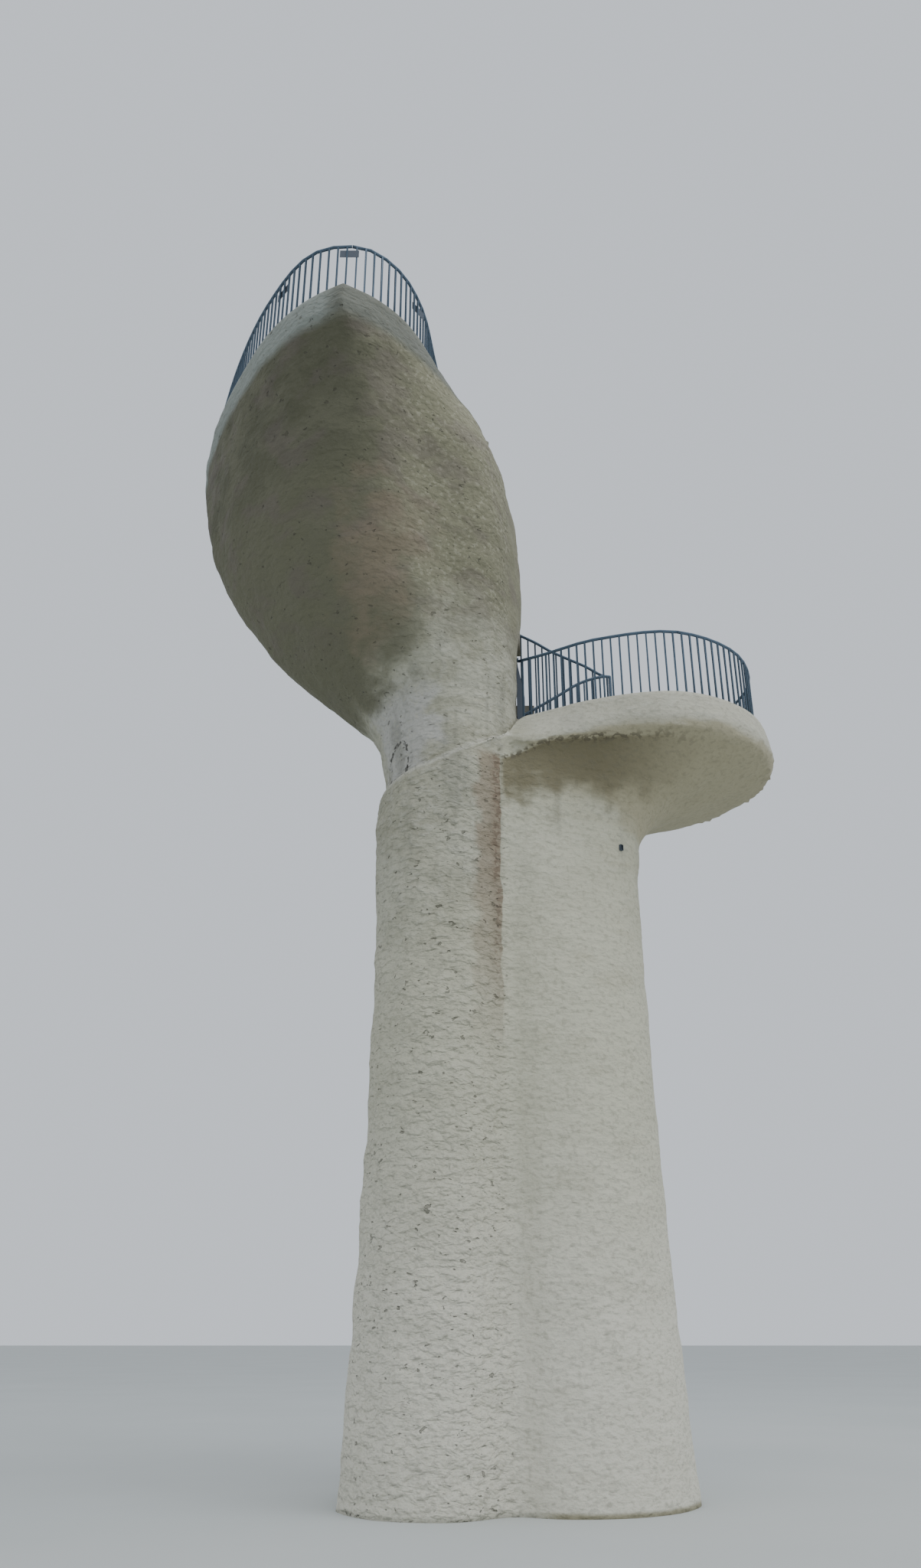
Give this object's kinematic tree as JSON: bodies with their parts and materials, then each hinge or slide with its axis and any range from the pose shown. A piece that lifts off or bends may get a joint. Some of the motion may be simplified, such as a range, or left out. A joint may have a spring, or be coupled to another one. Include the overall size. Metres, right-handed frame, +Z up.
{
  "type": "observation tower",
  "caption": "Hollow concrete observation tower like a plant: a low leaf-shaped platform on a fat trunk and a tall stem with a pointed platform, both railed.",
  "frame": {"origin": "on the ground at the middle of the trunk's foot, on the underside of the ground floor", "axes": "+Z up; -Y towards the front, where the tip of the upper platform points; +X towards the lower platform"},
  "size_m": [9.0111, 7.0321, 15.8],
  "materials": {
    "cream_concrete": "trowelled sprayed concrete, pale at the foot",
    "concrete": "rough sprayed concrete",
    "floor_concrete": "floated concrete",
    "rail_paint": "satin blue-grey paint"
  },
  "bodies": {
    "root": {"ground_floor": "floor_concrete", "lower_floor": "floor_concrete", "lower_leaf_back": "concrete", "lower_leaf_front": "concrete", "lower_leaf_right_front": "concrete", "lower_leaf_tip": "concrete", "lower_railing_back": "rail_paint", "lower_railing_front": "rail_paint", "lower_railing_right": "rail_paint", "lower_railing_tip": "rail_paint", "sheath_back": "concrete", "sheath_front": "concrete", "stair_guard": "rail_paint", "stair_lower_first_half": "floor_concrete", "stair_lower_second_half": "floor_concrete", "stair_upper": "floor_concrete", "stem_wall_back": "concrete", "stem_wall_front": "concrete", "stem_wall_front_left": "concrete", "stem_wall_front_right": "concrete", "stem_wall_left": "concrete", "stem_wall_over_near_portal": "concrete", "trunk_wall_back_left": "cream_concrete", "trunk_wall_back_right": "cream_concrete", "trunk_wall_front_left": "cream_concrete", "trunk_wall_front_right": "cream_concrete", "trunk_wall_left": "cream_concrete", "trunk_wall_over_door": "cream_concrete", "trunk_wall_right": "cream_concrete", "upper_floor": "floor_concrete", "upper_leaf_back": "concrete", "upper_leaf_back_left": "concrete", "upper_leaf_back_right": "concrete", "upper_leaf_front_left": "concrete", "upper_leaf_front_right": "concrete", "upper_leaf_left": "concrete", "upper_leaf_right_shoulder": "concrete", "upper_leaf_tip": "concrete", "upper_railing_back": "rail_paint", "upper_railing_back_left": "rail_paint", "upper_railing_front_right": "rail_paint", "upper_railing_left": "rail_paint", "upper_railing_right": "rail_paint", "upper_railing_tip": "rail_paint", "upper_well_guard": "rail_paint"}
  },
  "joints": []
}
